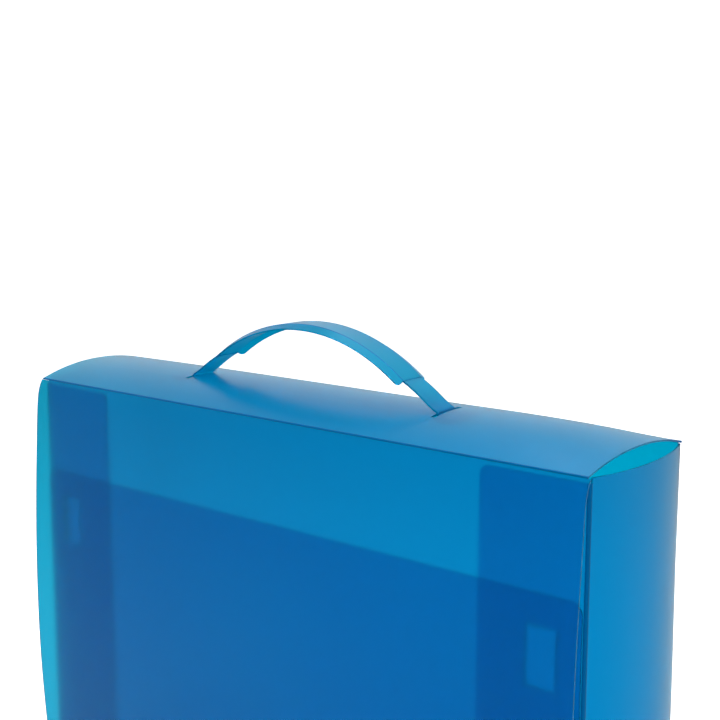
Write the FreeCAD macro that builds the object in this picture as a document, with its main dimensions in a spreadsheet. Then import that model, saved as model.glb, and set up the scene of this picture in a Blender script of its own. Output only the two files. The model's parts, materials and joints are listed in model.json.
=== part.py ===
import FreeCAD, Part
import Sketcher
import math
import os
import re

# Translucent polypropylene archival box with a strap handle, folded from one die-cut sheet.
# Frame: +X along the length, -Y to the front cover, +Z up, origin on the floor below the
# middle of the whole object. All lengths are mm, all angles are degrees.

os.makedirs("parts", exist_ok=True)
doc = FreeCAD.newDocument("archival_box")
sheet = doc.addObject("Spreadsheet::Sheet", "sizes")

drivingSizes = [
    ("boxLength", 330),           # between the two end creases
    ("boxDepth", 78),             # between the front and back creases of the top
    ("boxHeight", 250),           # floor to the two top creases
    ("sheetThickness", 0.8),      # polypropylene sheet
    ("plyGap", 0.4),              # air between two sheets that lie on each other
    ("creaseRadius", 1.4),        # outer radius of a fixed fold
    ("creaseThickness", 0.5),     # sheet left in a pressed fold line
    ("hingeRadius", 0.5),         # half the thickness of the two folds that open
    ("hingeInset", 0.3),          # outer face of a sheet to the axis of its opening fold
    ("domeAngle", 24.5),          # slope of the domed top where it meets its creases
    ("coverAngle", 8),            # slope of the bowed cover where it meets its crease
    ("coverFloorGap", 6),         # lower edge of the cover to the floor
    ("coverOverhang", 1),         # cover beyond the end creases, each side
    ("coverCorner", 14),          # rounding of the two free corners of the cover
    ("wallDrop", 50),             # top crease to the upper edge of the inner front wall
    ("wallSetback", 1.5),         # end crease to the end of the inner front wall
    ("wallCorner", 5),
    ("sideDrop", 1.3),            # top crease to the upper edge of a side panel
    ("sideBulgeTop", 6),          # side panel outwards at its two ends
    ("sideBulgeMiddle", 11),      # side panel outwards at half height
    ("flapWidth", 48),            # front flap, from its fold to its free edge
    ("flapDrop", 3.5),            # top crease to the upper edge of a front flap
    ("flapFloorGap", 4),
    ("flapCorner", 4),
    ("tabHeight", 28),            # end tabs turned up from the bottom
    ("tabCorner", 8),
    ("tabInset", 7),              # end tab shorter than the depth, each side
    ("lockInset", 11),            # fold of a front flap to its lock window
    ("lockLength", 14),
    ("lockHeight", 26),
    ("lockDrop", 13),             # upper edge of the wall to a lock window
    ("lockJog", 3),               # run of the tongue from the flap to the wall
    ("lockClearance", 0.5),
    ("slotSpacing", 154),         # between the two handle slots in the top
    ("slotLength", 20),
    ("slotWidth", 1.6),
    ("strapOffset", 5.4),         # strap in front of the middle of the top
    ("strapWidth", 13),
    ("gripHalfLength", 58),
    ("gripEndHeight", 20),        # grip ends above the top creases
    ("gripSag", 20),              # rise of the grip's arch
    ("wingRun", 4),               # stiffening wings along both sides of the grip
    ("wingFall", 2),
    ("strapBendRise", 0.84),      # strap turns down to its slot, above the domed top
    ("anchorDrop", 2.86),         # crown of the top to the upper face of an anchor
    ("anchorLength", 12),
    ("anchorWidth", 22),
    ("anchorCorner", 3),
    ("studSpacing", 190),         # between the two press studs of the cover
    ("studHeight", 26),
    ("studNeckRadius", 1.5),
    ("studFlangeRadius", 4),
    ("studFlange", 0.9),
    ("studPostRadius", 1.9),
    ("studTipRadius", 1.1),
    ("studShoulder", 1.4),        # straight part of the post
    ("studPostLength", 2),
    ("studBore", 2.6),
    ("socketRadius", 5),
    ("socketTopRadius", 4),
    ("socketRim", 0.6),
    ("socketDepth", 1.3),
    ("capRadius", 6),
    ("capTopRadius", 4.8),
    ("capRim", 0.7),
    ("capHeight", 1.4),
    ("seatGap", 0.05),            # stud halves to the bowed face that they sit on
    ("rivetClearance", 0.1),
]
for row, (alias, value) in enumerate(drivingSizes, start=1):
    sheet.set(f"A{row}", alias)
    sheet.set(f"B{row}", str(value))
    sheet.setAlias(f"B{row}", alias)
doc.recompute()

# Lengths and angles that follow from the driving sizes.
derived = {
    "hingeSpan": "boxDepth / 2 - hingeRadius",
    "domeMidRadius": "hingeSpan / sin(domeAngle)",
    "domeRadius": "domeMidRadius + hingeInset",
    "domeHalfAngle": "domeAngle - asin(hingeRadius / domeMidRadius) / 1deg",
    "hingeZ": "boxHeight - hingeRadius",
    "domeCentreZ": "hingeZ - domeMidRadius * cos(domeAngle)",
    "domeRise": "domeCentreZ + domeRadius - boxHeight",
    "strapBendHeight": "domeRise + strapBendRise",
    "anchorDepth": "domeRise - anchorDrop",
    "coverMidRadius": "hingeZ / 2 / sin(coverAngle)",
    "coverRadius": "coverMidRadius + hingeInset",
    "coverHalfAngle": "coverAngle - asin(hingeRadius / coverMidRadius) / 1deg",
    "coverBow": "coverMidRadius * (1 - cos(coverAngle))",
    "hingeProud": "hingeRadius - hingeInset",
    "backY": "(boxDepth + coverBow - hingeProud) / 2",
    "backFace": "backY - hingeProud",
    "frontY": "backY - boxDepth",
    "middleY": "backY - boxDepth / 2",
    "coverCentreY": "frontY + hingeRadius + coverMidRadius * cos(coverAngle)",
    "coverCentreZ": "hingeZ / 2",
    "coverLength": "boxLength + 2 * coverOverhang",
    "plyStep": "sheetThickness + plyGap",
    "wallY": "frontY + plyStep",
    "wallTop": "boxHeight - wallDrop",
    "flapY": "wallY + plyStep",
    "endX": "boxLength / 2",
    "sideTop": "boxHeight - sideDrop",
    "sideChord": "backFace - flapY - 2 * creaseRadius",
    "sideCentreY": "(backFace + flapY) / 2",
    "foldX": "endX - creaseRadius",
    "tabX": "endX - plyStep",
    "bottomHalfLength": "tabX - creaseRadius",
    "bottomFrontY": "wallY + creaseRadius",
    "bottomBackY": "backFace - creaseRadius",
    "tabLength": "bottomBackY - bottomFrontY - 2 * tabInset",
    "tabFrontY": "bottomFrontY + tabInset",
    "lockTop": "wallTop - lockDrop",
    "strapY": "middleY - strapOffset",
    "gripRadius": "(gripHalfLength ^ 2 + gripSag ^ 2) / (2 * gripSag)",
    "gripAngle": "asin(gripHalfLength / gripRadius) / 1deg",
    "gripCentreZ": "boxHeight + gripEndHeight + gripSag - gripRadius",
    "slotX": "slotSpacing / 2",
    "anchorTop": "boxHeight + anchorDepth",
    "studX": "studSpacing / 2",
    "studAngle": "asin((studHeight - coverCentreZ) / coverRadius) / 1deg",
    "rivetHole": "studNeckRadius + rivetClearance",
}
aliases = {alias for alias, value in drivingSizes}
nearby = 0.1


def expand(text):
    """Write a formula over named sizes as one expression over the spreadsheet's cells."""
    def swap(match):
        word = match.group(0)
        if word in derived:
            return "(" + expand(derived[word]) + ")"
        if word in aliases:
            return "sizes." + word
        return word
    return re.sub(r"[A-Za-z]+", swap, text)


def bind(piece, **formulas):
    """Tie properties of a piece to the spreadsheet; x, y, z and turn are its placement."""
    places = {
        "x": "Placement.Base.x",
        "y": "Placement.Base.y",
        "z": "Placement.Base.z",
        "turn": "Placement.Rotation.Angle",
    }
    for name, formula in formulas.items():
        piece.setExpression(places.get(name, name), expand(formula))


def size(name):
    """Present value of a driving or derived size, in mm or degrees."""
    value = doc.getObject("sizes").evalExpression(expand(name))
    return float(getattr(value, "Value", value))


subParts = []


def keep(piece, label):
    piece.Label = label
    subParts.append(piece)
    return piece


def turnAxis(piece, x, y, z):
    """Set the axis that a bound turn angle goes about; the angle itself comes from bind."""
    piece.Placement.Rotation = FreeCAD.Rotation(FreeCAD.Vector(x, y, z), 1)


def originPlane(body, role):
    return next(item for item in body.Origin.OriginFeatures if item.Role == role)


def newSketch(body, name, role):
    sketch = body.newObject("Sketcher::SketchObject", name)
    sketch.AttachmentSupport = (originPlane(body, role), [""])
    sketch.MapMode = "FlatFace"
    return sketch


def point(x, y):
    return FreeCAD.Vector(x, y, 0)


def constrain(sketch, kind, *arguments):
    sketch.addConstraint(Sketcher.Constraint(kind, *arguments))


def nameLast(sketch, name, formula):
    """Name the newest constraint of a sketch and tie it to the spreadsheet."""
    sketch.renameConstraint(sketch.ConstraintCount - 1, name)
    sketch.setExpression("Constraints." + name, expand(formula))


def drawRectangle(sketch, width, height, left="0", low="0", tag=""):
    """Rectangle with its lower left corner at left, low from the sketch's origin."""
    x0 = size(left)
    y0 = size(low)
    x1 = x0 + size(width)
    y1 = y0 + size(height)
    corners = [point(x0, y0), point(x1, y0), point(x1, y1), point(x0, y1)]
    first = sketch.GeometryCount
    for index in range(4):
        sketch.addGeometry(Part.LineSegment(corners[index], corners[(index + 1) % 4]), False)
    for index in range(4):
        constrain(sketch, "Coincident", first + index, 2, first + (index + 1) % 4, 1)
    for index, direction in enumerate(("Horizontal", "Vertical", "Horizontal", "Vertical")):
        constrain(sketch, direction, first + index)
    constrain(sketch, "DistanceX", first, 1, first, 2, x1 - x0)
    nameLast(sketch, "width" + tag, width)
    constrain(sketch, "DistanceY", first + 1, 1, first + 1, 2, y1 - y0)
    nameLast(sketch, "height" + tag, height)
    if left == "0" and low == "0":
        constrain(sketch, "Coincident", first, 1, -1, 1)
        return
    constrain(sketch, "DistanceX", -1, 1, first, 1, x0)
    nameLast(sketch, "left" + tag, left)
    constrain(sketch, "DistanceY", -1, 1, first, 1, y0)
    nameLast(sketch, "low" + tag, low)


def drawPolygon(sketch, corners):
    """Closed outline through corners, each an (x, y) pair of formulas."""
    values = [(size(x), size(y)) for x, y in corners]
    count = len(values)
    for index in range(count):
        start = point(*values[index])
        end = point(*values[(index + 1) % count])
        sketch.addGeometry(Part.LineSegment(start, end), False)
    for index in range(count):
        constrain(sketch, "Coincident", index, 2, (index + 1) % count, 1)
    for index, (x, y) in enumerate(corners):
        for axis, formula, value in (("X", x, values[index][0]), ("Y", y, values[index][1])):
            if abs(value) < 1e-9:
                line = -2 if axis == "X" else -1
                constrain(sketch, "PointOnObject", index, 1, line)
                continue
            constrain(sketch, "Distance" + axis, -1, 1, index, 1, value)
            nameLast(sketch, f"corner{axis}{index}", formula)


def pad(body, sketch, length, reverse=False, middle=False):
    feature = body.newObject("PartDesign::Pad", sketch.Name + "Pad")
    feature.Profile = sketch
    feature.setExpression("Length", expand(length))
    feature.Reversed = reverse
    feature.Midplane = middle
    doc.recompute()
    return feature


def pocket(body, sketch):
    """Cut a sketch right through a body, both ways, and make sure that it cuts."""
    before = body.Shape.Volume
    feature = body.newObject("PartDesign::Pocket", sketch.Name + "Pocket")
    feature.Profile = sketch
    feature.Type = "ThroughAll"
    feature.Midplane = True
    doc.recompute()
    if body.Shape.Volume >= before:
        raise RuntimeError(body.Name + ": pocket cuts nothing")
    return feature


def roundEdges(body, radius, chosen):
    """Fillet the edges of a body's tip whose middle point passes the test."""
    tip = body.Tip
    names = []
    for index, edge in enumerate(tip.Shape.Edges, start=1):
        middle = edge.valueAt((edge.FirstParameter + edge.LastParameter) / 2)
        if chosen(edge, middle):
            names.append(f"Edge{index}")
    fillet = body.newObject("PartDesign::Fillet", body.Name + "Fillet")
    fillet.Base = (tip, names)
    fillet.setExpression("Radius", expand(radius))
    doc.recompute()
    return fillet


def alongThickness(edge, axis):
    """True for a straight edge that runs through the sheet's thickness."""
    ends = edge.Vertexes
    if len(ends) != 2:
        return False
    run = ends[1].Point - ends[0].Point
    return abs(abs(run[axis]) - run.Length) < 1e-6 and run.Length < 1.01 * size("sheetThickness")


# Flat panels.

def flatPanel(label, role, width, height, middle=False):
    """Body of one flat sheet with its lower left corner at the body's origin."""
    body = doc.addObject("PartDesign::Body", label)
    sketch = newSketch(body, label + "Outline", role)
    drawRectangle(sketch, width, height)
    pad(body, sketch, "sheetThickness", reverse=role == "XZ_Plane")
    return keep(body, label)


backPanel = flatPanel("back_panel", "XZ_Plane", "2 * foldX", "boxHeight - creaseRadius - 2 * hingeRadius")
bind(backPanel, x="-foldX", y="backFace - sheetThickness", z="creaseRadius")

bottomPanel = flatPanel("bottom_panel", "XY_Plane", "2 * bottomHalfLength", "bottomBackY - bottomFrontY")
bind(bottomPanel, x="-bottomHalfLength", y="bottomFrontY")

wallWidth = "2 * (endX - wallSetback)"
frontWall = flatPanel("inner_front_wall", "XZ_Plane", wallWidth, "wallTop - creaseRadius")
windows = newSketch(frontWall, "lockWindows", "XZ_Plane")
windowLeft = "lockInset - wallSetback + creaseRadius"
windowRight = f"{wallWidth} - ({windowLeft}) - lockLength"
windowLow = "lockTop - lockHeight - creaseRadius"
drawRectangle(windows, "lockLength", "lockHeight", windowLeft, windowLow, "Left")
drawRectangle(windows, "lockLength", "lockHeight", windowRight, windowLow, "Right")
pocket(frontWall, windows)
wallHeight = size("wallTop - creaseRadius")
roundEdges(frontWall, "wallCorner",
           lambda edge, middle: alongThickness(edge, 1) and abs(middle.z - wallHeight) < nearby)
rivetHoles = newSketch(frontWall, "rivetHoles", "XZ_Plane")
for side, tag in ((-1, "Left"), (1, "Right")):
    across = f"endX - wallSetback + {side} * studX"
    above = "studHeight - creaseRadius"
    centre = point(size(across), size(above))
    ring = Part.Circle(centre, FreeCAD.Vector(0, 0, 1), size("rivetHole"))
    circle = rivetHoles.addGeometry(ring, False)
    constrain(rivetHoles, "Radius", circle, size("rivetHole"))
    nameLast(rivetHoles, "bore" + tag, "rivetHole")
    constrain(rivetHoles, "DistanceX", -1, 1, circle, 3, centre.x)
    nameLast(rivetHoles, "across" + tag, across)
    constrain(rivetHoles, "DistanceY", -1, 1, circle, 3, centre.y)
    nameLast(rivetHoles, "above" + tag, above)
pocket(frontWall, rivetHoles)
bind(frontWall, x="-(endX - wallSetback)", y="wallY", z="creaseRadius")


# Panels and folds on arcs.

def arcBand(name, radius, thickness, halfAngle, length, middle=0.0):
    """Curved sheet about the local Z axis, centred on the direction middle from local +X."""
    rings = []
    for ring, ringRadius in (("Outer", radius), ("Inner", f"{radius} - {thickness}")):
        cylinder = doc.addObject("Part::Cylinder", name + ring)
        bind(cylinder, Radius=ringRadius, Height=length)
        rings.append(cylinder)
    turnAxis(rings[0], 0, 0, 1)
    bind(rings[0], Angle=f"2 * ({halfAngle})", turn=f"{middle} - ({halfAngle})")
    band = doc.addObject("Part::Cut", name)
    band.Base, band.Tool = rings
    return band


axisAlongX = FreeCAD.Rotation(FreeCAD.Vector(0, 0, 1), FreeCAD.Vector(1, 0, 0))


def alongX(piece, startX, y, z, direction):
    """Lay a band's axis along +X with its middle direction (0, y, z) as given."""
    turn = FreeCAD.Matrix()
    up = FreeCAD.Vector(*direction)
    across = FreeCAD.Vector(1, 0, 0).cross(up)
    turn.A11, turn.A21, turn.A31 = up.x, up.y, up.z
    turn.A12, turn.A22, turn.A32 = across.x, across.y, across.z
    turn.A13, turn.A23, turn.A33 = 1, 0, 0
    piece.Placement = FreeCAD.Placement(turn)
    bind(piece, x=startX, y=y, z=z)
    return piece


# Fixed folds along the two long lower edges and up the two end tabs.
def longFold(label, y, direction):
    fold = arcBand(label, "creaseRadius", "creaseThickness", "45", "2 * bottomHalfLength")
    fold = alongX(fold, "-bottomHalfLength", y, "creaseRadius", direction)
    return keep(fold, label)


slant = math.sqrt(0.5)
longFold("back_bottom_crease", "bottomBackY", (0, slant, -slant))
longFold("front_bottom_crease", "bottomFrontY", (0, -slant, -slant))

tabRise = size("tabHeight - creaseRadius")
for side, name in ((-1, "left"), (1, "right")):
    tab = flatPanel(name + "_end_tab", "YZ_Plane", "tabLength", "tabHeight - creaseRadius")
    roundEdges(tab, "tabCorner",
               lambda edge, middle: alongThickness(edge, 0) and abs(middle.z - tabRise) < nearby)
    tabStart = "tabX - sheetThickness" if side > 0 else "-tabX"
    bind(tab, x=tabStart, y="tabFrontY", z="creaseRadius")

    fold = arcBand(name + "_tab_crease", "creaseRadius", "creaseThickness", "45", "tabLength")
    laid = FreeCAD.Matrix()
    laid.A11, laid.A21, laid.A31 = side * slant, 0, -slant
    laid.A12, laid.A22, laid.A32 = slant, 0, side * slant
    laid.A13, laid.A23, laid.A33 = 0, -1, 0
    fold.Placement = FreeCAD.Placement(laid)
    bind(fold, x=f"{side} * bottomHalfLength", y="tabFrontY + tabLength", z="creaseRadius")
    keep(fold, name + "_tab_crease")

# Upright folds: side panel to back panel, and side panel to front flap.
uprightFolds = [
    ("back_left_crease", -1, 135, "backFace - creaseRadius", "0", "sideTop"),
    ("back_right_crease", 1, 45, "backFace - creaseRadius", "0", "sideTop"),
    ("front_left_crease", -1, 225, "flapY + creaseRadius", "flapFloorGap", "boxHeight - flapDrop"),
    ("front_right_crease", 1, 315, "flapY + creaseRadius", "flapFloorGap", "boxHeight - flapDrop"),
]
for label, side, middle, y, low, high in uprightFolds:
    fold = arcBand(label, "creaseRadius", "creaseThickness", "45", f"{high} - {low}", middle)
    bind(fold, x=f"{side} * foldX", y=y, z=low)
    keep(fold, label)


# Side panels.

def drawSideSection(sketch, bulge):
    """Arc-shaped strip: outer and inner arc with the same chord, one sheet apart in X."""
    half = size("sideChord") / 2
    rise = size(bulge)
    radius = f"(sideChord ^ 2 / 4 + {bulge} ^ 2) / (2 * {bulge})"
    for shift in (0.0, size("sheetThickness")):
        ends = [point(-shift, -half), point(rise - shift, 0), point(-shift, half)]
        sketch.addGeometry(Part.Arc(*ends), False)
    thickness = size("sheetThickness")
    sketch.addGeometry(Part.LineSegment(point(0, half), point(-thickness, half)), False)
    sketch.addGeometry(Part.LineSegment(point(0, -half), point(-thickness, -half)), False)
    for line, (outerEnd, innerEnd) in ((2, (2, 2)), (3, (1, 1))):
        constrain(sketch, "Coincident", line, 1, 0, outerEnd)
        constrain(sketch, "Coincident", line, 2, 1, innerEnd)
        constrain(sketch, "Horizontal", line)
    constrain(sketch, "PointOnObject", 0, 1, -2)
    constrain(sketch, "PointOnObject", 0, 2, -2)
    constrain(sketch, "Symmetric", 0, 1, 0, 2, -1)
    constrain(sketch, "DistanceY", 0, 1, 0, 2, 2 * half)
    nameLast(sketch, "chord", "sideChord")
    constrain(sketch, "Radius", 0, size(radius))
    nameLast(sketch, "outerRadius", radius)
    constrain(sketch, "Equal", 0, 1)
    constrain(sketch, "DistanceX", 2, 2, 2, 1, thickness)
    nameLast(sketch, "thickness", "sheetThickness")


for turned, name in ((180, "left"), (0, "right")):
    body = doc.addObject("PartDesign::Body", name + "_side_panel")
    sections = []
    for level, height, bulge in (("Low", "0", "sideBulgeTop"), ("Middle", "sideTop / 2", "sideBulgeMiddle"),
                                 ("High", "sideTop", "sideBulgeTop")):
        section = newSketch(body, name + level + "Section", "XY_Plane")
        section.setExpression("AttachmentOffset.Base.z", expand(height))
        drawSideSection(section, bulge)
        sections.append(section)
    doc.recompute()
    loft = body.newObject("PartDesign::AdditiveLoft", name + "SideLoft")
    loft.Profile = sections[0]
    loft.Sections = sections[1:]
    body.Placement.Rotation = FreeCAD.Rotation(FreeCAD.Vector(0, 0, 1), turned)
    bind(body, x="endX" if turned == 0 else "-endX", y="sideCentreY")
    keep(body, name + "_side_panel")


# Front flaps and their lock tongues.

for side, name in ((-1, "left"), (1, "right")):
    label = name + "_front_flap"
    flapHeight = "boxHeight - flapDrop - flapFloorGap"
    flap = flatPanel(label, "XZ_Plane", "flapWidth", flapHeight)
    window = newSketch(flap, name + "FlapWindow", "XZ_Plane")
    nearFold = "lockInset" if side < 0 else "flapWidth - lockInset - lockLength"
    drawRectangle(window, "lockLength", "lockHeight", nearFold, "lockTop - lockHeight - flapFloorGap")
    pocket(flap, window)
    freeX = size("flapWidth") if side < 0 else 0.0
    roundEdges(flap, "flapCorner",
               lambda edge, middle: alongThickness(edge, 1) and abs(middle.x - freeX) < 0.1)
    bind(flap, x="-foldX" if side < 0 else "foldX - flapWidth", y="flapY", z="flapFloorGap")

    tongue = doc.addObject("PartDesign::Body", name + "_lock_tongue")
    outline = newSketch(tongue, name + "TongueOutline", "XY_Plane")
    reach = f"{-side}"
    tip = "lockLength - lockClearance"
    drawPolygon(outline, [
        ("0", "plyStep"),
        (f"{reach} * lockJog", "0"),
        (f"{reach} * ({tip})", "0"),
        (f"{reach} * ({tip})", "sheetThickness"),
        (f"{reach} * (lockJog + plyGap)", "sheetThickness"),
        ("0", "plyStep + sheetThickness"),
    ])
    pad(tongue, outline, "lockHeight - 2 * lockClearance")
    bind(tongue, x=f"{side} * (foldX - lockInset)", y="wallY", z="lockTop - lockHeight + lockClearance")
    keep(tongue, name + "_lock_tongue")


# Domed top and its opening fold.

dome = arcBand("domedSheet", "domeRadius", "sheetThickness", "domeHalfAngle", "boxLength")
alongX(dome, "-endX", "middleY", "domeCentreZ", (0, 0, 1))
slots = []
for side, name in ((-1, "left"), (1, "right")):
    slot = doc.addObject("Part::Box", name + "Slot")
    bind(slot, Length="slotWidth", Width="slotLength", Height="domeRise + sheetThickness",
         x=f"{side} * slotX - slotWidth / 2", y="strapY - slotLength / 2", z="boxHeight")
    slots.append(slot)
slotPair = doc.addObject("Part::Compound", "handleSlots")
slotPair.Links = slots
topPanel = doc.addObject("Part::Cut", "top_panel")
topPanel.Base = dome
topPanel.Tool = slotPair
keep(topPanel, "top_panel")


def openingFold(label, y):
    fold = doc.addObject("Part::Cylinder", label)
    bind(fold, Radius="hingeRadius", Height="boxLength")
    turnAxis(fold, 0, 1, 0)
    bind(fold, turn="90", x="-endX", y=y, z="hingeZ")
    return keep(fold, label)


openingFold("top_back_crease", "backY - hingeRadius")
openingFold("top_front_crease", "frontY + hingeRadius")


# Front cover: a bowed sheet, trimmed to an outline with two rounded free corners.
bowed = arcBand("bowedSheet", "coverRadius", "sheetThickness", "coverHalfAngle", "coverLength")
alongX(bowed, "-coverLength / 2", "coverCentreY", "coverCentreZ", (0, -1, 0))

trim = doc.addObject("PartDesign::Body", "coverTrim")
trimOutline = newSketch(trim, "coverTrimOutline", "XZ_Plane")
drawRectangle(trimOutline, "coverLength", "boxHeight - coverFloorGap")
pad(trim, trimOutline, "coverBow + 2 * sheetThickness")
roundEdges(trim, "coverCorner",
           lambda edge, middle: middle.z < nearby and abs(edge.tangentAt(edge.FirstParameter).y) > 0.5)
bind(trim, x="-coverLength / 2", y="frontY + 2 * sheetThickness", z="coverFloorGap")
trimmed = doc.addObject("Part::Common", "trimmedCover")
trimmed.Base = bowed
trimmed.Tool = trim

rivets = []
for side, name in ((-1, "left"), (1, "right")):
    hole = doc.addObject("Part::Cylinder", name + "CoverHole")
    turnAxis(hole, 1, 0, 0)
    bind(hole, Radius="rivetHole", Height="4 * sheetThickness", turn="90 - studAngle", x=f"{side} * studX",
         y="coverCentreY - (coverRadius - 2 * sheetThickness) * cos(studAngle)",
         z="coverCentreZ + (coverRadius - 2 * sheetThickness) * sin(studAngle)")
    rivets.append(hole)
rivetPair = doc.addObject("Part::Compound", "coverHoles")
rivetPair.Links = rivets
cover = doc.addObject("Part::Cut", "front_cover")
cover.Base = trimmed
cover.Tool = rivetPair
keep(cover, "front_cover")


# Press studs.

def turnedPiece(label, outline):
    """Solid turned about the body's Y axis from corners (radius, height along Y)."""
    body = doc.addObject("PartDesign::Body", label)
    sketch = newSketch(body, label + "Profile", "XY_Plane")
    drawPolygon(sketch, outline)
    turned = body.newObject("PartDesign::Revolution", label + "Turned")
    turned.Profile = sketch
    turned.ReferenceAxis = (sketch, ["V_Axis"])
    turned.Angle = 360
    doc.recompute()
    return keep(body, label)


for side, name in ((-1, "left"), (1, "right")):
    # The male half sits in the wall; its axis points forwards, along the body's -Y.
    male = turnedPiece(name + "_stud", [
        ("0", "sheetThickness + studFlange"),
        ("studFlangeRadius", "sheetThickness + studFlange"),
        ("studFlangeRadius", "sheetThickness"),
        ("studNeckRadius", "sheetThickness"),
        ("studNeckRadius", "0"),
        ("studFlangeRadius", "0"),
        ("studFlangeRadius", "-studFlange"),
        ("studPostRadius", "-studFlange"),
        ("studPostRadius", "-(studFlange + studShoulder)"),
        ("studTipRadius", "-(studFlange + studPostLength)"),
        ("0", "-(studFlange + studPostLength)"),
    ])
    bind(male, x=f"{side} * studX", y="wallY", z="studHeight")

    # The cap's neck goes through the cover and holds the socket behind it.
    cap = turnedPiece(name + "_stud_cap", [
        ("0", "sheetThickness"),
        ("studNeckRadius", "sheetThickness"),
        ("studNeckRadius", "-seatGap"),
        ("capRadius", "-seatGap"),
        ("capRadius", "-capRim"),
        ("capTopRadius", "-capHeight"),
        ("0", "-capHeight"),
    ])
    socket = turnedPiece(name + "_stud_socket", [
        ("studBore", "sheetThickness + seatGap"),
        ("socketRadius", "sheetThickness + seatGap"),
        ("socketRadius", "sheetThickness + socketRim"),
        ("socketTopRadius", "sheetThickness + socketDepth"),
        ("studBore", "sheetThickness + socketDepth"),
    ])
    for piece in (cap, socket):
        turnAxis(piece, 1, 0, 0)
        bind(piece, turn="-studAngle", x=f"{side} * studX",
             y="coverCentreY - coverRadius * cos(studAngle)",
             z="coverCentreZ + coverRadius * sin(studAngle)")


# Strap handle.

grip = doc.addObject("PartDesign::Body", "handle_grip")
profile = newSketch(grip, "gripProfile", "YZ_Plane")
half = "strapWidth / 2"
drawPolygon(profile, [
    (f"-({half})", "gripRadius"),
    (half, "gripRadius"),
    (f"{half} + wingRun", "gripRadius - wingFall"),
    (f"{half} + wingRun", "gripRadius - wingFall - sheetThickness"),
    (half, "gripRadius - sheetThickness"),
    (f"-({half})", "gripRadius - sheetThickness"),
    (f"-({half} + wingRun)", "gripRadius - wingFall - sheetThickness"),
    (f"-({half} + wingRun)", "gripRadius - wingFall"),
])
arch = grip.newObject("PartDesign::Revolution", "gripArch")
arch.Profile = profile
arch.ReferenceAxis = (profile, ["H_Axis"])
arch.Midplane = True
arch.setExpression("Angle", expand("2 * gripAngle"))
bind(grip, y="strapY", z="gripCentreZ")
keep(grip, "handle_grip")

for side, name in ((-1, "left"), (1, "right")):
    leg = doc.addObject("PartDesign::Body", name + "_handle_leg")
    legOutline = newSketch(leg, name + "LegOutline", "XZ_Plane")
    top = "gripEndHeight"
    inner = "(gripRadius - sheetThickness)"
    drawPolygon(legOutline, [
        (f"{side} * gripHalfLength", top),
        (f"{side} * (slotX + sheetThickness / 2)", "strapBendHeight"),
        (f"{side} * (slotX + sheetThickness / 2)", "anchorDepth"),
        (f"{side} * (slotX - sheetThickness / 2)", "anchorDepth"),
        (f"{side} * (slotX - sheetThickness / 2)", "strapBendHeight - sheetThickness / 2"),
        (f"{side} * {inner} * sin(gripAngle)", f"{top} + gripSag - gripRadius + {inner} * cos(gripAngle)"),
    ])
    pad(leg, legOutline, "strapWidth", middle=True)
    bind(leg, y="strapY", z="boxHeight")
    keep(leg, name + "_handle_leg")

    anchor = doc.addObject("PartDesign::Body", name + "_handle_anchor")
    plan = newSketch(anchor, name + "AnchorPlan", "XY_Plane")
    drawRectangle(plan, "anchorLength", "anchorWidth", "-anchorLength / 2", "-anchorWidth / 2")
    pad(anchor, plan, "sheetThickness", reverse=True)
    roundEdges(anchor, "anchorCorner", lambda edge, middle: alongThickness(edge, 2))
    bind(anchor, x=f"{side} * (slotX - sheetThickness + anchorLength / 2)", y="strapY", z="anchorTop")
    keep(anchor, name + "_handle_anchor")


# Checks and export.

doc.recompute()
for item in doc.Objects:
    if "Invalid" in item.State or "Error" in item.State:
        raise RuntimeError(item.Name + ": " + ", ".join(item.State))
for piece in subParts:
    shape = piece.Shape
    if shape.isNull() or not shape.isValid() or len(shape.Solids) != 1:
        raise RuntimeError(piece.Label + ": not one valid solid")
for piece in subParts:
    piece.Shape.exportStep(os.path.join("parts", piece.Label + ".step"))
print(len(subParts), "sub-parts written")
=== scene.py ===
import json
import math

import bmesh
import bpy
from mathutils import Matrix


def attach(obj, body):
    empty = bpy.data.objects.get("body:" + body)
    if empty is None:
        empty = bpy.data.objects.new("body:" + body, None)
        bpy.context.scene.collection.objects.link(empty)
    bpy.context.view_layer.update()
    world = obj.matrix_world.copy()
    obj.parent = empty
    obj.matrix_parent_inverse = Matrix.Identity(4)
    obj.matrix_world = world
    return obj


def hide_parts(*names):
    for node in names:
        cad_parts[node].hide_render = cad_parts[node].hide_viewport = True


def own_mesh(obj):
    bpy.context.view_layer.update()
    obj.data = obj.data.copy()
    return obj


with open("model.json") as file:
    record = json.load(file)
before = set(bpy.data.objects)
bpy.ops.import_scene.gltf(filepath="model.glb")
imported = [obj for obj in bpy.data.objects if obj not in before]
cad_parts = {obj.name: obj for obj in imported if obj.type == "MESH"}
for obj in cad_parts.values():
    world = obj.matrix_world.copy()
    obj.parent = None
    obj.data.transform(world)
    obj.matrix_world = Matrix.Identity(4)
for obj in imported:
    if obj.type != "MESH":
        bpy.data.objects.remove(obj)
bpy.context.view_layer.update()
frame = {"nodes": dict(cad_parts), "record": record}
nodes = frame["nodes"]
mm = 0.001


# Camera
camera = {"place": (0.3862, -0.4314, 0.3652), "turn": 39.79, "tilt": 9.13, "lens": 62.35, "sensor": 36,
          "reach": 50}

bpy.ops.object.camera_add(location=camera["place"],
                          rotation=(math.radians(90 - camera["tilt"]), 0, math.radians(camera["turn"])))
viewCamera = bpy.context.object
viewCamera.data.lens = camera["lens"]
viewCamera.data.sensor_width = camera["sensor"]
viewCamera.data.clip_end = camera["reach"]
scene = bpy.context.scene
scene.camera = viewCamera
scene.view_settings.view_transform = "Standard"
print("camera set")


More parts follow.
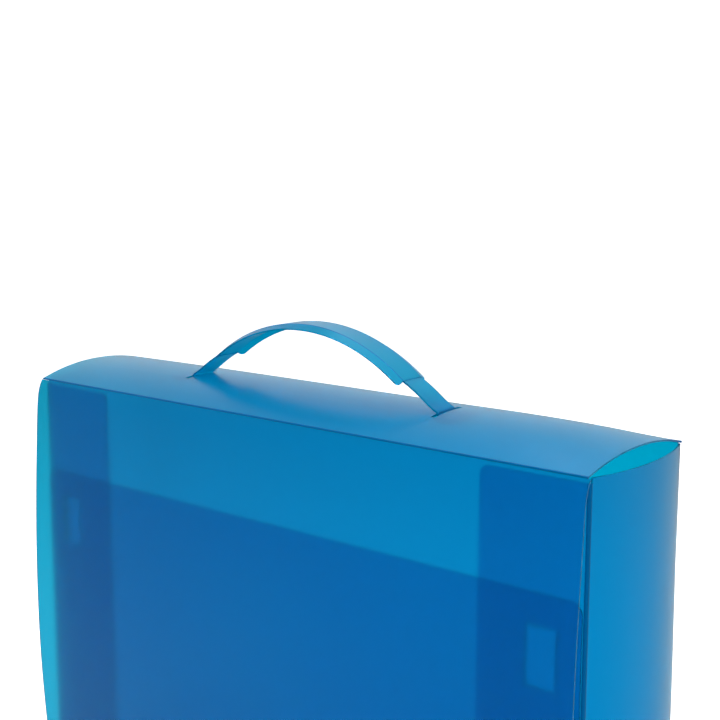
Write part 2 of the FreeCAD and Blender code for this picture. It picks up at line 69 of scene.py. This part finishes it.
# Stage and light
stage = {"size": 12, "drop": 0.0005, "paint": (0.92, 0.92, 0.92), "matt": 0.9, "glow": 0.75,
         "backdrop": 1.25, "sky": 0.85, "room": 0.42, "brightSide": (-0.68, 0.73, 0.05),
         "brightEdge": (0.5, 0.98), "lamp": 9.0, "lampSize": 0.9, "lampPlace": (0.0, 0.3, 1.2),
         "bounces": 24}

bpy.ops.mesh.primitive_plane_add(size=stage["size"], location=(0, 0, -stage["drop"]))
floor = bpy.context.object
floor.name = "floor"

scene.cycles.max_bounces = stage["bounces"]
scene.cycles.transmission_bounces = stage["bounces"]
scene.cycles.transparent_max_bounces = stage["bounces"]

world = bpy.data.worlds.new("studio")
scene.world = world
world.use_nodes = True
room = world.node_tree.nodes["Background"]
seen = world.node_tree.nodes.new("ShaderNodeLightPath")
level = world.node_tree.nodes.new("ShaderNodeMapRange")  # bright backdrop, dimmer light on the object
level.inputs["To Max"].default_value = stage["backdrop"]
world.node_tree.links.new(seen.outputs["Is Camera Ray"], level.inputs["Value"])
world.node_tree.links.new(level.outputs["Result"], room.inputs["Strength"])
room.inputs["Color"].default_value = (1, 1, 1, 1)
heading = world.node_tree.nodes.new("ShaderNodeTexCoord")
facing = world.node_tree.nodes.new("ShaderNodeVectorMath")
facing.operation = "DOT_PRODUCT"
facing.inputs[1].default_value = stage["brightSide"]
spread = world.node_tree.nodes.new("ShaderNodeMapRange")  # the lit backdrop is brighter than the room
spread.interpolation_type = "SMOOTHSTEP"
spread.inputs["From Min"].default_value = stage["brightEdge"][0]
spread.inputs["From Max"].default_value = stage["brightEdge"][1]
spread.inputs["To Min"].default_value = stage["room"]
spread.inputs["To Max"].default_value = stage["sky"]
world.node_tree.links.new(heading.outputs["Generated"], facing.inputs[0])
world.node_tree.links.new(facing.outputs["Value"], spread.inputs["Value"])
world.node_tree.links.new(spread.outputs["Result"], level.inputs["To Min"])

bpy.ops.object.light_add(type="AREA", location=stage["lampPlace"])
lamp = bpy.context.object
lamp.data.size = stage["lampSize"]
lamp.data.energy = stage["lamp"]
print("stage and light set")


# Materials
def newMaterial(name):
    material = bpy.data.materials.new(name)
    material.use_nodes = True
    tree = material.node_tree
    return material, tree, tree.nodes["Principled BSDF"]


def addNode(tree, kind, **settings):
    node = tree.nodes.new(kind)
    for key, value in settings.items():
        if key in node.inputs:
            node.inputs[key].default_value = value
        else:
            setattr(node, key, value)
    return node


paint, tree, shader = newMaterial("floorPaint")
shader.inputs["Base Color"].default_value = (*stage["paint"], 1)
shader.inputs["Roughness"].default_value = stage["matt"]
shader.inputs["Emission Color"].default_value = (1, 1, 1, 1)
seen = addNode(tree, "ShaderNodeLightPath")
glow = addNode(tree, "ShaderNodeMath", operation="MULTIPLY")
glow.inputs[1].default_value = stage["glow"]
tree.links.new(seen.outputs["Is Camera Ray"], glow.inputs[0])
tree.links.new(glow.outputs[0], shader.inputs["Emission Strength"])
floor.data.materials.append(paint)

frosted = {"tint": (0.0, 0.61, 0.92), "dense": (0.0, 0.56, 0.9), "roughness": 0.28, "cloud": 9.0,
           "cloudDetail": 3.0, "grain": 2600, "grainDetail": 2.0, "bump": 0.05, "bumpDepth": 0.0002,
           "clear": 0.9, "gloss": (0.0, 0.25, 0.6), "bend": 1.33}


def frostedPlastic(name, look):
    material, tree, shader = newMaterial(name)
    place = addNode(tree, "ShaderNodeTexCoord")
    cloud = addNode(tree, "ShaderNodeTexNoise", Scale=look["cloud"], Detail=look["cloudDetail"])
    mix = addNode(tree, "ShaderNodeMix", data_type="RGBA")
    for socket in mix.inputs:
        if socket.type == "RGBA" and socket.name == "A":
            socket.default_value = (*look["tint"], 1)
        if socket.type == "RGBA" and socket.name == "B":
            socket.default_value = (*look["dense"], 1)
    tree.links.new(place.outputs["Object"], cloud.inputs["Vector"])
    tree.links.new(cloud.outputs["Fac"], mix.inputs["Factor"])
    colour = [socket for socket in mix.outputs if socket.type == "RGBA"][0]
    tree.links.new(colour, shader.inputs["Base Color"])
    grain = addNode(tree, "ShaderNodeTexNoise", Scale=look["grain"], Detail=look["grainDetail"])
    bump = addNode(tree, "ShaderNodeBump", Strength=look["bump"], Distance=look["bumpDepth"])
    tree.links.new(place.outputs["Object"], grain.inputs["Vector"])
    tree.links.new(grain.outputs["Fac"], bump.inputs["Height"])
    tree.links.new(bump.outputs["Normal"], shader.inputs["Normal"])
    shader.inputs["Roughness"].default_value = look["roughness"]
    shader.inputs["Transmission Weight"].default_value = look["clear"]
    shader.inputs["IOR"].default_value = look["bend"]
    shader.inputs["Specular Tint"].default_value = (*look["gloss"], 1)
    return material


sheetPlastic = frostedPlastic("frostedSheet", frosted)
# darker, less clear fold material: painted shade along the creases, where the bent sheet looks darker
foldShadePlastic = frostedPlastic("foldLinePaintedShade", {**frosted, "tint": (0.0, 0.3, 0.72), "dense": (0.0, 0.27, 0.68),
                                          "clear": 0.35})
strapPlastic = frostedPlastic("strapPlastic", {**frosted, "tint": (0.0, 0.55, 0.89),
                                               "dense": (0.0, 0.51, 0.87)})
studPlastic = frostedPlastic("studPlastic", {**frosted, "clear": 0.6})

finishes = {"frosted_sheet": sheetPlastic, "fold_line": foldShadePlastic, "strap": strapPlastic,
            "press_stud": studPlastic}
for part in frame["record"]["subparts"]:
    piece = nodes[part["node"]]
    piece.data.materials.clear()
    piece.data.materials.append(finishes[part["material_slot"]])
print("materials done")


# Making sheets, in millimetres
sameRow = 0.02


def stopEditing():
    if bpy.context.mode != "OBJECT":
        bpy.ops.object.mode_set(mode="OBJECT")
    bpy.ops.object.select_all(action="DESELECT")


def flatSheet(name, low, high, turn=(0, 0, 0)):
    stopEditing()
    middle = [(a + b) / 2 * mm for a, b in zip(low, high)]
    sides = [(b - a) * mm for a, b in zip(low, high)]
    bpy.ops.mesh.primitive_plane_add(size=1, location=middle, rotation=turn)
    piece = bpy.context.object
    piece.name = name
    bpy.ops.object.transform_apply(location=False, rotation=True, scale=False)
    piece.scale = [side or 1 for side in sides]
    bpy.ops.object.transform_apply(location=True, rotation=False, scale=True)
    bpy.ops.object.mode_set(mode="EDIT")
    bpy.ops.mesh.select_mode(type="VERT")
    return piece


def choose(test):
    mesh = bmesh.from_edit_mesh(bpy.context.object.data)
    for vertex in mesh.verts:
        vertex.select = bool(test(vertex.co / mm))
    mesh.select_flush_mode()
    bmesh.update_edit_mesh(bpy.context.object.data)


def sliceSheet(axis, places):
    direction = [0, 0, 0]
    direction[axis] = 1
    for place in places:
        spot = [0, 0, 0]
        spot[axis] = place * mm
        bpy.ops.mesh.select_all(action="SELECT")
        bpy.ops.mesh.bisect(plane_co=spot, plane_no=direction)


def rowsOf(axis):
    mesh = bmesh.from_edit_mesh(bpy.context.object.data)
    return sorted({round(vertex.co[axis] / mm, 2) for vertex in mesh.verts})


def shiftRow(axis, place, offset):
    choose(lambda spot: abs(spot[axis] - place) < sameRow)
    bpy.ops.transform.translate(value=[step * mm for step in offset])


def roundCorners(test, radius, segments):
    choose(test)
    bpy.ops.mesh.bevel(offset=radius * mm, segments=segments, affect="VERTICES")


def giveThickness(piece, thickness, crispAngle=35):
    stopEditing()
    bpy.context.view_layer.objects.active = piece
    piece.select_set(True)
    bpy.ops.object.modifier_add(type="SOLIDIFY")
    wall = piece.modifiers[-1]
    wall.thickness = thickness * mm
    wall.offset = -1
    wall.use_even_offset = True
    bpy.ops.object.modifier_apply(modifier=wall.name)
    bpy.ops.object.shade_smooth_by_angle(angle=math.radians(crispAngle))


def curveAt(points, place):
    last = len(points) - 1
    k = max(i for i in range(last) if i == 0 or place >= points[i][0])

    def slope(i):
        before, after = points[max(i - 1, 0)], points[min(i + 1, last)]
        return (after[1] - before[1]) / (after[0] - before[0])

    width = points[k + 1][0] - points[k][0]
    t = (place - points[k][0]) / width
    return ((2 * t ** 3 - 3 * t ** 2 + 1) * points[k][1] + (t ** 3 - 2 * t ** 2 + t) * width * slope(k)
            + (3 * t ** 2 - 2 * t ** 3) * points[k + 1][1] + (t ** 3 - t ** 2) * width * slope(k + 1))


def finishPiece(piece, body, slot, *replaced):
    piece.data.materials.clear()
    piece.data.materials.append(finishes[slot])
    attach(piece, body)
    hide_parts(*replaced)


# Front cover
cover = {"halfLength": 166, "bottom": 6, "top": 249, "crease": 250, "face": -34.738, "corner": 14,
         "cornerSteps": 10, "thickness": 0.8,
         "bow": [(1, -0.15), (2.5, 0.7), (4, 1.4), (6, 2.1), (9, 2.8), (13, 3.35), (18, 3.8), (25, 4.35),
                 (37, 5.15), (60, 6.6), (90, 7.9), (125, 8.45), (160, 7.8), (200, 5.4), (224, 3.07),
                 (244, 0.62)],
         "rows": [1.8, 2.6, 3.5, 4.5, 6, 7.5, 9, 11, 13, 15.5, 18, 21, 25, 30, 36, 43],
         "lowerRows": range(200, 6, -8)}

frontCover = flatSheet("frontCover", (-cover["halfLength"], cover["face"], cover["bottom"]),
                       (cover["halfLength"], cover["face"], cover["top"]), (math.pi / 2, 0, 0))
roundCorners(lambda spot: spot.z < cover["bottom"] + 1, cover["corner"], cover["cornerSteps"])
sliceSheet(2, [cover["crease"] - drop for drop in cover["rows"]] + list(cover["lowerRows"]))
for row in rowsOf(2):
    shiftRow(2, row, (0, -curveAt(cover["bow"], cover["crease"] - row), 0))
giveThickness(frontCover, cover["thickness"])
finishPiece(frontCover, "cover", "frosted_sheet", "front_cover")
print("front cover made")


# Domed top
top = {"halfLength": 165, "front": -33.907, "back": 42.431, "edge": 249.98, "thickness": 0.8,
       "fullness": 2.1, "slotX": (75.8, 78.2), "slotY": (-11.4, 8.6),
       "rise": [(-165, 6.6), (-140, 7.1), (-110, 7.5), (-60, 7.8), (0, 8.0), (60, 8.1), (105, 8.4),
                (135, 7.7), (152, 6.2), (165, 4.8)],
       "draftRise": 10, "slotMargin": 0.1, "columns": range(-160, 165, 10), "slotMiddle": 77,
       "clearOfSlot": 4, "endColumns": [-163, 163], "rows": range(-32, 42, 3), "endRows": [-33.3, 41.8]}

topPanel = flatSheet("topPanel", (-top["halfLength"], top["front"], top["edge"]),
                     (top["halfLength"], top["back"], top["edge"]))
sliceSheet(0, [0] + [sign * place for sign in (-1, 1) for place in top["slotX"]])
sliceSheet(1, top["slotY"])
near = top["slotMargin"]
choose(lambda spot: top["slotX"][0] - near < abs(spot.x) < top["slotX"][1] + near
       and top["slotY"][0] - near < spot.y < top["slotY"][1] + near)
bpy.ops.mesh.delete(type="ONLY_FACE")
sliceSheet(0, [x for x in top["columns"] if x and abs(abs(x) - top["slotMiddle"]) > top["clearOfSlot"]]
           + top["endColumns"])
sliceSheet(1, list(top["rows"]) + top["endRows"])
middleY = (top["front"] + top["back"]) / 2
halfDepth = (top["back"] - top["front"]) / 2
for row in rowsOf(1):
    share = abs((row - middleY) / halfDepth)
    shiftRow(1, row, (0, 0, top["draftRise"] * (1 - min(share, 1) ** top["fullness"])))
for column in rowsOf(0):
    choose(lambda spot: abs(spot.x - column) < sameRow)
    bpy.ops.transform.resize(value=(1, 1, curveAt(top["rise"], column) / top["draftRise"]),
                             center_override=(0, 0, top["edge"] * mm))
giveThickness(topPanel, top["thickness"])
finishPiece(topPanel, "top", "frosted_sheet", "top_panel")
print("domed top made")


# Strap handle
strap = {"middleY": -1.138, "halfWidth": 6.5, "thickness": 0.8, "halfLength": 58, "end": 270, "radius": 94.1,
         "wingRun": 4, "wingFall": 2, "fold": 0.4, "tip": 2.2, "tipSteps": 4, "crispAngle": 20,
         "columns": range(-56, 57, 4), "loweredShare": 0.367,
         "leg": [(57.7, 270), (60.9, 268.3), (64.4, 266.2), (67.8, 263.9), (71, 261.6), (74.2, 259.5),
                 (76.1, 258.5), (77, 257.3), (77.2, 256.1), (77.3, 255.3)]}

wingEdge = strap["halfWidth"] + strap["wingRun"]
grip = flatSheet("handleGrip", (-strap["halfLength"], strap["middleY"] - wingEdge, strap["end"]),
                 (strap["halfLength"], strap["middleY"] + wingEdge, strap["end"]))
roundCorners(lambda spot: True, strap["tip"], strap["tipSteps"])
folds = [strap["halfWidth"], strap["halfWidth"] + strap["fold"]]
sliceSheet(1, [strap["middleY"] + sign * place for sign in (-1, 1) for place in folds])
sliceSheet(0, strap["columns"])
for row in rowsOf(1):
    out = abs(row - strap["middleY"]) - strap["halfWidth"]
    if out > 0.1:
        shiftRow(1, row, (0, 0, -strap["wingFall"] * out / strap["wingRun"]))
centreZ = strap["end"] - math.sqrt(strap["radius"] ** 2 - strap["halfLength"] ** 2)
for column in rowsOf(0):
    arch = centreZ + math.sqrt(strap["radius"] ** 2 - column ** 2) - strap["end"]
    shiftRow(0, column, (0, 0, arch))
giveThickness(grip, strap["thickness"], strap["crispAngle"])
finishPiece(grip, "handle", "strap", "handle_grip")
# the strips along the wing folds take the fold material: painted shade at the creases
grip.data.materials.append(foldShadePlastic)
for face in grip.data.polygons:
    out = abs(face.center.y / mm - strap["middleY"]) - strap["halfWidth"]
    face.material_index = int(0 < out < strap["fold"])

for side, name in ((-1, "left"), (1, "right")):
    startX, endX = strap["leg"][0][0], strap["leg"][-1][0]
    low, high = sorted((side * startX, side * endX))
    leg = flatSheet(name + "HandleLeg", (low, strap["middleY"] - strap["halfWidth"], strap["end"]),
                    (high, strap["middleY"] + strap["halfWidth"], strap["end"]))
    sliceSheet(0, [side * place for place, height in strap["leg"][1:-1]])
    for place, height in strap["leg"][1:]:
        shiftRow(0, side * place, (0, 0, height - strap["end"]))
    giveThickness(leg, strap["thickness"])
    finishPiece(leg, "top", "strap", name + "_handle_leg")
    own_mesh(leg)
print("strap handle made")

stopEditing()
